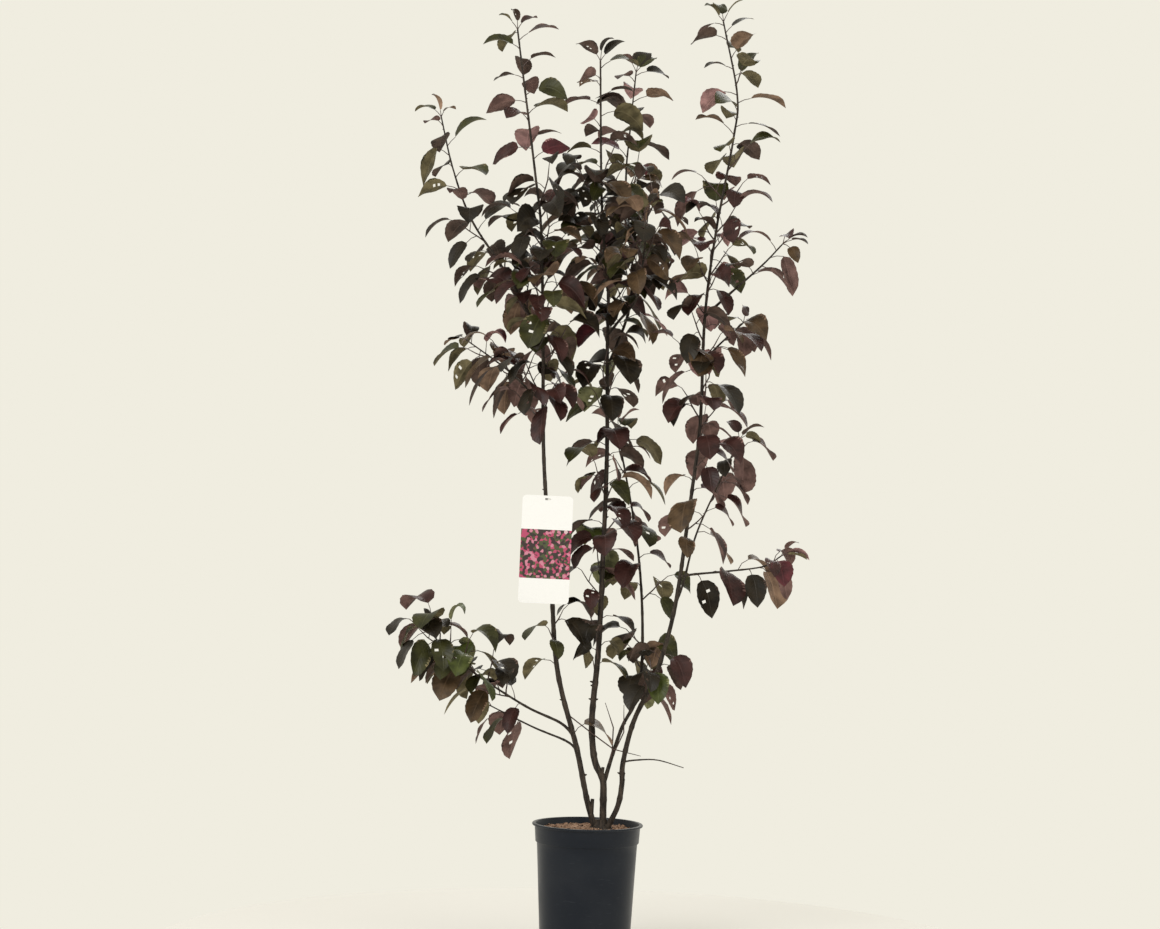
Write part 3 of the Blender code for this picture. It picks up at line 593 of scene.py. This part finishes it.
class Bundle:
    """Many small shapes gathered into one piece."""

    def __init__(self):
        self.points = []
        self.faces = []
        self.slots = []
        self.corners = []

    def face(self, indexes, slot=0, corners=None):
        self.faces.append(indexes)
        self.slots.append(slot)
        self.corners.extend(corners or [(0.5, 0.5)] * len(indexes))

    def wrap(self, start, rings, sides):
        """Closes rings of points, from the one at start upward, into a skin with two end caps."""
        end = start + (rings - 1) * sides
        for ring in range(start, end, sides):
            for k in range(sides):
                a, b = ring + k, ring + (k + 1) % sides
                self.face((a, b, b + sides, a + sides))
        self.face(tuple(start + k for k in reversed(range(sides))))
        self.face(tuple(end + k for k in range(sides)))

    def tube(self, route, radii, sides):
        """A closed tube along the route."""
        start = len(self.points)
        side = Vector((1.0, 0.0, 0.0))
        for i, point in enumerate(route):
            ahead = (route[min(i + 1, len(route) - 1)] - route[max(i - 1, 0)]).normalized()
            if abs(side.dot(ahead)) > NEARLY_ALONG:
                side = Vector((0.0, 1.0, 0.0))
            side = (side - ahead * side.dot(ahead)).normalized()
            across = ahead.cross(side)
            for k in range(sides):
                turn = FULL_TURN * k / sides
                self.points.append(point + radii[i] * (math.cos(turn) * side + math.sin(turn) * across))
        self.wrap(start, len(route), sides)

    def blade(self, base, heading, side, length, width, droop, fold, wave, holes):
        """A closed leaf blade that arches over along its length, eaten through at the holes.

        Slot 0 is its upper face, slot 1 the lower.
        """
        rows = self.blade_rows(base, heading, side, length, width, droop, fold, wave)
        for i, (low, high) in enumerate(zip(rows, rows[1:])):
            v0, v1 = i / LEAF_STATIONS, (i + 1) / LEAF_STATIONS
            for k, (left, right) in enumerate(zip(LEAF_ACROSS, LEAF_ACROSS[1:])):
                u0, u1 = 0.5 + left / 2, 0.5 + right / 2
                if (i, k) in holes:
                    rim = [low[k], low[k + 1], high[k + 1], high[k]]
                    for a, b in zip(rim, rim[1:] + rim[:1]):
                        self.face((a[0], b[0], b[1], a[1]), 1)
                    continue
                for layer in (0, 1):
                    if i == 0:
                        loop = [low[0], high[k + 1][layer], high[k][layer]]
                        flat = [(0.5, v0), (u1, v1), (u0, v1)]
                    elif i == LEAF_STATIONS - 1:
                        loop = [low[k][layer], low[k + 1][layer], high[0]]
                        flat = [(u0, v0), (u1, v0), (0.5, v1)]
                    else:
                        loop = [low[k][layer], low[k + 1][layer], high[k + 1][layer], high[k][layer]]
                        flat = [(u0, v0), (u1, v0), (u1, v1), (u0, v1)]
                    if layer:
                        loop.reverse()
                        flat.reverse()
                    self.face(tuple(loop), layer, flat)

    def blade_rows(self, base, heading, side, length, width, droop, fold, wave):
        """The blade's points: one each at foot and tip, and between them a row of upper and lower points."""
        rows = []
        spot = base.copy()
        for i in range(LEAF_STATIONS + 1):
            t = i / LEAF_STATIONS
            ahead = (heading + DOWN * droop * t).normalized()
            normal = side.cross(ahead).normalized()
            if i:
                spot = spot + ahead * (length / LEAF_STATIONS)
            if i in (0, LEAF_STATIONS):
                self.points.append(spot.copy())
                rows.append((len(self.points) - 1,))
                continue
            half = 0.5 * width * math.sin(math.pi * t ** LEAF_WIDEST_EARLY) ** LEAF_FULLNESS
            half *= min(1.0, (1.0 - t) / LEAF_POINT) ** 0.5
            row = []
            for share in LEAF_ACROSS:
                at_margin = abs(share) == 1.0
                reach = half * share * (LEAF_TEETH[i % 2] if at_margin else 1.0)
                ripple = math.sin(LEAF_RIPPLE_ALONG * t + LEAF_RIPPLE_ACROSS * share) * abs(share)
                at = spot + side * reach + normal * (fold * abs(reach) + wave * half * ripple)
                self.points.append(at)
                if not at_margin:
                    self.points.append(at - normal * LEAF_THICKNESS)
                last = len(self.points) - 1
                row.append((last, last) if at_margin else (last - 1, last))
            rows.append(row)
        return rows

    def piece(self, name, paints, sharp=SHARP_EDGE):
        """The gathered shapes as one object that rides on the body."""
        mesh = bpy.data.meshes.new(name)
        mesh.from_pydata([tuple(point) for point in self.points], [], self.faces)
        mesh.polygons.foreach_set("material_index", self.slots)
        layer = mesh.uv_layers.new(name=LEAF_MAP)
        layer.data.foreach_set("uv", [value for corner in self.corners for value in corner])
        for paint in paints:
            mesh.materials.append(paint)
        mesh.shade_smooth()
        mesh.set_sharp_from_angle(angle=sharp)
        made = bpy.data.objects.new(name, mesh)
        bpy.context.collection.objects.link(made)
        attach(made, "root")
        return made


def smooth_route(points, step):
    """Points about one step apart on a smooth curve through the given ones."""
    knots = [Vector(point) for point in points]
    padded = [2 * knots[0] - knots[1], *knots, 2 * knots[-1] - knots[-2]]
    route = [knots[0]]
    for a, b, c, d in zip(padded, padded[1:], padded[2:], padded[3:]):
        parts = max(1, round((c - b).length / step))
        for k in range(1, parts + 1):
            t = k / parts
            route.append(0.5 * (2 * b + (c - a) * t + (2 * a - 5 * b + 4 * c - d) * t**2
                                + (3 * b - 3 * c + d - a) * t**3))
    return route


def shares_along(route):
    """How far along the route each of its points lies, from 0 to 1."""
    lengths = [0.0]
    for a, b in zip(route, route[1:]):
        lengths.append(lengths[-1] + (b - a).length)
    return [length / lengths[-1] for length in lengths]


def limb_radius(foot, tip, share):
    """A limb's radius at a share of its length."""
    return foot + (tip - foot) * share ** LIMB_TAPER


def make_limb(name, foot, tip, points, paint, chance):
    """A limb with swollen joints, small ridges and bud scars in its own surface."""
    route = smooth_route(points, LIMB_STEP)
    radii = []
    for i, share in enumerate(shares_along(route)):
        joint = 1.0 + JOINT_SWELL * max(0.0, math.cos(i * JOINT_PACE + foot * JOINT_SHIFT)) ** JOINT_NARROW
        radii.append(limb_radius(foot, tip, share) * joint)
    bundle = Bundle()
    bundle.tube(route, radii, LIMB_SIDES)
    for index, point in enumerate(bundle.points):
        middle = route[index // LIMB_SIDES]
        bundle.points[index] = middle + (point - middle) * (1.0 + lump(point, LIMB_LUMPS))
    for _ in range(len(route) // SCAR_SPACING):
        at = chance.randrange(SCAR_FREE_FOOT, len(route) - SCAR_FREE_TIP)
        turn = chance.uniform(0, FULL_TURN)
        out = on_ring(1.0, turn, SCAR_RISE).normalized()
        root = route[at] + out * radii[at] * SCAR_ROOT
        size = max(SCAR_SMALLEST, radii[at] * SCAR_SHARE)
        bundle.tube([root + out * size * away for away, _ in SCAR_PROFILE],
                    [size * thick for _, thick in SCAR_PROFILE], SCAR_SIDES)
    made = bundle.piece(name + "_bark", [paint])
    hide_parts(name)
    return route


def make_stubs(paint):
    """The cut-back stubs low on the stems."""
    bundle = Bundle()
    for low, high, radius in STUBS:
        low, high = Vector(low), Vector(high)
        radii = [radius * swell for swell in STUB_SWELL]
        bundle.tube([low, low.lerp(high, STUB_MIDDLE), high], radii, LIMB_SIDES)
    made = bundle.piece("pruned_stubs", [paint])


def make_trunk_foot(paint):
    """The flared foot of the trunk, with shallow buttresses."""
    bundle = Bundle()
    for i in range(TRUNK_RINGS + 1):
        height = i / TRUNK_RINGS
        spread = TRUNK_WAIST + (1 - TRUNK_WAIST) * (1 - height) ** TRUNK_FLARE
        for k in range(TRUNK_SIDES):
            turn = FULL_TURN * k / TRUNK_SIDES
            buttress = 1 + BUTTRESS_DEPTH * (1 - height) * math.sin(BUTTRESSES * turn + BUTTRESS_TURN)
            point = TRUNK_CENTRE + Vector((TRUNK_HALF_WIDTH * spread * buttress * math.cos(turn),
                                           TRUNK_HALF_DEPTH * spread * buttress * math.sin(turn),
                                           TRUNK_FOOT_HEIGHT + TRUNK_HEIGHT * height))
            bundle.points.append(point + TRUNK_ROUGH * noise.noise(point * TRUNK_ROUGH_FINENESS))
    bundle.wrap(0, TRUNK_RINGS + 1, TRUNK_SIDES)
    made = bundle.piece("trunk_foot_bark", [paint])
    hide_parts("trunk_foot")


def leaf_kind(spot, chance):
    """Which colour a spray near this place has."""
    if spot.z > TIPS_HEIGHT:
        kinds = TIP_KINDS
    elif spot.x > RIGHT_SIDE:
        kinds = RIGHT_KINDS
    elif spot.z > UPPER_HEIGHT:
        kinds = UPPER_KINDS
    elif spot.z > MIDDLE_HEIGHT:
        kinds = MIDDLE_KINDS
    else:
        kinds = LOW_KINDS
    return chance.choices(list(kinds), list(kinds.values()))[0]


def inside_frame(spot):
    """Whether a point lies within the frame's box, seen from above."""
    return all(CAD_BOX[0][axis] < spot[axis] < CAD_BOX[1][axis] for axis in (0, 1))


def pick_holes(chance):
    """Station and cell of two eaten holes on some leaves, and none on the others."""
    if chance.random() >= HOLE_SHARE:
        return ()
    first = chance.randrange(*HOLE_FIRST)
    return ((first, chance.randrange(*HOLE_CELL)),
            (first + chance.randrange(*HOLE_APART), chance.randrange(*HOLE_CELL)))


def grow_leaf(base, out, droop, kind, leaves, twigs, chance, scale=1.0):
    """One leaf on its stalk, which leaves the wood in the direction out.

    A leaf whose tip would leave the frame's box hangs down instead.
    """
    length = chance.uniform(*LEAF_LENGTH) * scale
    stalk = chance.uniform(*STALK_LENGTH) * scale
    bend = (out + DOWN * droop * STALK_SAG).normalized()
    middle = base + out * stalk * 0.5
    end = middle + bend * stalk * 0.5
    twigs.tube([base, middle, end], STALK_RADII, STALK_SIDES)
    heading = (bend + Vector([chance.gauss(0, stray) for stray in LEAF_STRAY])).normalized()
    if not inside_frame(end + heading * length):
        heading = (heading * LEAF_HEADING_KEPT + DOWN).normalized()
    side = heading.cross(UP)
    if side.length < LEAF_LEAST_SIDE:
        side = Vector((1.0, 0.0, 0.0))
    side = Matrix.Rotation(chance.gauss(0, LEAF_ROLL), 3, heading) @ side.normalized()
    width = length * chance.uniform(*LEAF_WIDTH)
    holes = pick_holes(chance)
    leaves[kind].blade(end, heading, side, length, width, droop * chance.uniform(*LEAF_DROOP),
                       chance.uniform(*LEAF_FOLD), chance.uniform(*LEAF_WAVE), holes)


def grow_twig(base, out, length, droop, kind, leaves, twigs, chance):
    """A short side twig with leaves round it and one at its end."""
    ahead = (out + UP * TWIG_LIFT).normalized()
    route = [base]
    for _ in range(TWIG_PARTS):
        stray = Vector((chance.gauss(0, TWIG_STRAY), chance.gauss(0, TWIG_STRAY), TWIG_RISE))
        ahead = (ahead + stray).normalized()
        route.append(route[-1] + ahead * length / TWIG_PARTS)
    twigs.tube(route, TWIG_RADII, TWIG_SIDES)
    turn = chance.uniform(0, FULL_TURN)
    count = max(2, round(length / TWIG_LEAF_SPACING))
    for i in range(count):
        along = (i + 1) / count * TWIG_PARTS
        part = min(TWIG_PARTS - 1, int(along))
        spot = route[part].lerp(route[part + 1], along - part)
        turn += GOLDEN_TURN
        way = (beside(ahead, turn) * TWIG_LEAF_OUT + ahead * TWIG_LEAF_FORWARD).normalized()
        grow_leaf(spot, ahead if i == count - 1 else way, droop, kind, leaves, twigs, chance)


def dress_limb(route, foot, tip, stretches, leaves, twigs, chance):
    """Leaves and side twigs set round a limb by the golden turn, wherever it is dressed."""
    shares = shares_along(route)
    turn = chance.uniform(0, FULL_TURN)
    due = 0.0
    for last, spot, share in zip(route, route[1:], shares[1:]):
        stretch = next((row for row in stretches if row[0] <= spot.z < row[1]), None)
        if stretch is None:
            continue
        _, _, gap, twig_share, twig_length, droop = stretch
        ahead = (spot - last).normalized()
        due += (spot - last).length * max(abs(ahead.z), LEAST_STEEP) / gap
        while due >= 1.0:
            due -= 1.0
            turn += GOLDEN_TURN + chance.gauss(0, TURN_STRAY)
            around = beside(ahead, turn)
            out = (around + ahead * chance.uniform(*FORWARD_LEAN)).normalized()
            base = spot + around * limb_radius(foot, tip, share) * ROOT_SHARE
            kind = leaf_kind(spot, chance)
            if chance.random() < twig_share:
                length = twig_length * chance.uniform(*TWIG_LENGTHS)
                grow_twig(base, out, length, droop, kind, leaves, twigs, chance)
            else:
                scale = TIP_LEAF_SCALE if share > TIP_SHARE else 1.0
                grow_leaf(base, out, droop, kind, leaves, twigs, chance, scale)
    if stretches:
        end = route[-1]
        ahead = (end - route[-2]).normalized()
        for lean in END_LEANS:
            out = (ahead + Vector((lean, chance.uniform(-END_STRAY, END_STRAY), 0.0))).normalized()
            grow_leaf(end, out, 1.0, leaf_kind(end, chance), leaves, twigs, chance, END_LEAF_SCALE)


def make_plant():
    """Every limb with its leaves. The leaves of each kind make one piece for both their faces."""
    bark = bark_paint()
    leaves = {kind: Bundle() for kind in LEAF_KINDS}
    twigs = Bundle()
    for index, (name, (foot, tip, points, stretches)) in enumerate(LIMBS.items()):
        chance = random.Random(LIMB_SEED + index)
        route = make_limb(name, foot, tip, points, bark, chance)
        dress_limb(route, foot, tip, stretches, leaves, twigs, chance)
    make_stubs(bark)
    make_trunk_foot(bark)
    thick, thin = BARE_TWIG_RADIUS
    for points in BARE_TWIGS:
        twigs.tube([Vector(point) for point in points], [thick] * (len(points) - 1) + [thin], TWIG_SIDES)
    stalks = twigs.piece("twigs_and_leaf_stalks", [twig_paint()])
    masses = sorted(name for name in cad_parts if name.startswith("leaves_"))
    for index, (kind, (above, below)) in enumerate(LEAF_KINDS.items()):
        paints = [leaf_paint("leaf_%s_above" % kind, above, False),
                  leaf_paint("leaf_%s_below" % kind, below, True)]
        made = leaves[kind].piece("leaf_sprays_" + kind, paints)
        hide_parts(*masses[index::len(LEAF_KINDS)])


def start_shape():
    """Leaves nothing selected before the next shape."""
    bpy.ops.object.select_all(action="DESELECT")


def make_pot():
    """The pot: a disc drawn up ring by ring into wall, band and rolled lip, then down inside to its floor."""
    start_shape()
    bpy.ops.mesh.primitive_circle_add(vertices=POT_SIDES, radius=DISC_RADIUS, fill_type="NGON",
                                      location=(0, 0, 0))
    pot = bpy.context.object
    pot.name = "pot_shell"
    bpy.ops.object.mode_set(mode="EDIT")
    bpy.ops.mesh.select_all(action="SELECT")
    radius, height = DISC_RADIUS, 0.0
    for next_radius, next_height in POT_RINGS:
        bpy.ops.mesh.extrude_region_move(TRANSFORM_OT_translate={"value": (0, 0, next_height - height)})
        grow = next_radius / radius
        bpy.ops.transform.resize(value=(grow, grow, 1.0), center_override=(0, 0, next_height))
        radius, height = next_radius, next_height
    bpy.ops.mesh.select_all(action="SELECT")
    bpy.ops.mesh.normals_make_consistent(inside=False)
    bpy.ops.object.mode_set(mode="OBJECT")
    for i in range(DRAIN_HOLES):
        drill_hole(pot, FULL_TURN * (i + 0.5) / DRAIN_HOLES)
    bpy.ops.object.shade_smooth_by_angle(angle=POT_SHARP)
    pot.data.materials.append(pot_paint())
    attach(pot, "root")
    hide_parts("pot")


def drill_hole(pot, turn):
    """Cuts one drain hole through the pot's floor and leaves the pot selected."""
    start_shape()
    bpy.ops.mesh.primitive_cylinder_add(vertices=DRAIN_SIDES, radius=DRAIN_RADIUS, depth=DRILL_DEPTH,
                                        location=on_ring(DRAIN_RING_RADIUS, turn, 0.0))
    drill = bpy.context.object
    start_shape()
    pot.select_set(True)
    bpy.context.view_layer.objects.active = pot
    bore = pot.modifiers.new("bore", "BOOLEAN")
    bore.operation = "DIFFERENCE"
    bore.object = drill
    bpy.ops.object.modifier_apply(modifier=bore.name)
    bpy.data.objects.remove(drill, do_unlink=True)


def make_soil():
    """The root ball: an uneven top, and plain sides and base inside the pot."""
    bundle = Bundle()
    bundle.points.append(Vector((0, 0, SOIL_LEVEL)))
    for i in range(1, SOIL_RINGS + 1):
        share = i / SOIL_RINGS
        for k in range(SOIL_SIDES):
            spot = on_ring(SOIL_RADIUS * i / SOIL_RINGS, FULL_TURN * k / SOIL_SIDES,
                           SOIL_LEVEL - SOIL_DROP * share ** 2)
            near = (spot - TRUNK_CENTRE).xy.length
            rough = min(1.0, max(0.0, (near - SMOOTH_AT_TRUNK) / SMOOTH_FADE))
            rough *= min(1.0, (1 - share) * SMOOTH_AT_WALL)
            spot.z += rough * lump(spot, SOIL_LUMPS)
            bundle.points.append(spot)
    for radius, height in (SOIL_SHOULDER, SOIL_FOOT):
        for k in range(SOIL_SIDES):
            bundle.points.append(on_ring(radius, FULL_TURN * k / SOIL_SIDES, height))
    for k in range(SOIL_SIDES):
        bundle.face((0, 1 + k, 1 + (k + 1) % SOIL_SIDES))
    base = len(bundle.points) - SOIL_SIDES
    for ring in range(1, base, SOIL_SIDES):
        for k in range(SOIL_SIDES):
            a, b = ring + k, ring + (k + 1) % SOIL_SIDES
            bundle.face((a, a + SOIL_SIDES, b + SOIL_SIDES, b))
    bundle.face(tuple(base + k for k in reversed(range(SOIL_SIDES))))
    paint = soil_paint("soil_peat", low=(0.022, 0.012, 0.008), high=(0.090, 0.046, 0.027))
    soil = bundle.piece("soil_bed", [paint])
    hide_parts("soil")


def make_chips():
    """Loose bark chips lying on the soil."""
    chance = random.Random(CHIP_SEED)
    chips = Bundle()
    placed = 0
    while placed < CHIP_COUNT:
        turn = chance.uniform(0, FULL_TURN)
        radius = CHIP_SPREAD * math.sqrt(chance.random())
        spot = on_ring(radius, turn, SOIL_LEVEL - SOIL_DROP * (radius / CHIP_DROP_RADIUS) ** 2)
        if (spot - TRUNK_CENTRE).xy.length < CHIP_CLEAR:
            continue
        placed += 1
        size = Vector([chance.uniform(*span) for span in CHIP_HALF_SIZES])
        spin = Matrix.Rotation(chance.uniform(0, CHIP_SPIN), 3, "Z")
        tip = Matrix.Rotation(chance.gauss(0, CHIP_TIP), 3, "X")
        lie = spin @ tip @ Matrix.Rotation(chance.gauss(0, CHIP_ROLL), 3, "Y")
        middle = spot + Vector((0, 0, size.z + CHIP_LIFT))
        first = len(chips.points)
        for corner in BOX_CORNERS:
            reach = Vector([sign * half for sign, half in zip(corner, size)]) * chance.uniform(*CHIP_WEAR)
            chips.points.append(middle + lie @ reach)
        for loop in BOX_SIDES:
            chips.face(tuple(first + index for index in loop))
    paint = soil_paint("chip_bark", low=(0.110, 0.060, 0.036), high=(0.420, 0.260, 0.170))
    made = chips.piece("bark_chips", [paint], sharp=CHIP_SHARP)


def finish_card():
    """The card and its loop keep their own shape and get their finish."""
    for node, paint in (("label_card", card_paint()), ("label_tie", tie_paint())):
        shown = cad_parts[node]
        shown.data.materials.clear()
        shown.data.materials.append(paint)


def make_stage():
    """A pale floor under the pot, an even background and three soft lamps."""
    start_shape()
    bpy.ops.mesh.primitive_circle_add(vertices=FLOOR_SIDES, radius=FLOOR_RADIUS, fill_type="NGON",
                                      location=(0, 0, FLOOR_HEIGHT))
    floor = bpy.context.object
    floor.name = "floor"
    floor.data.materials.append(Paint("floor_pale", 0.9).finish(FLOOR_COLOUR))
    world = bpy.data.worlds.new("studio")
    bpy.context.scene.world = world
    world.use_nodes = True
    world.node_tree.nodes["Background"].inputs[0].default_value = (*BACKGROUND, 1.0)
    for name, place, size, power in LAMPS:
        data = bpy.data.lights.new(name, "AREA")
        data.size = size
        data.energy = power
        lamp = bpy.data.objects.new(name, data)
        bpy.context.collection.objects.link(lamp)
        lamp.location = place
        lamp.rotation_euler = (LAMPS_AIM - lamp.location).to_track_quat("-Z", "Y").to_euler()


def make_camera():
    """The level camera, with plain colours."""
    data = bpy.data.cameras.new("camera")
    data.lens = CAMERA_LENS
    data.sensor_width = CAMERA_SENSOR
    camera = bpy.data.objects.new("camera", data)
    bpy.context.collection.objects.link(camera)
    camera.matrix_world = (Matrix.Translation(CAMERA_PLACE) @ Matrix.Rotation(math.pi / 2, 4, "X")
                           @ Matrix.Rotation(CAMERA_TURN, 4, "Z"))
    bpy.context.scene.camera = camera
    bpy.context.scene.view_settings.view_transform = "Standard"


make_camera()
make_stage()
make_pot()
make_soil()
make_chips()
make_plant()
finish_card()
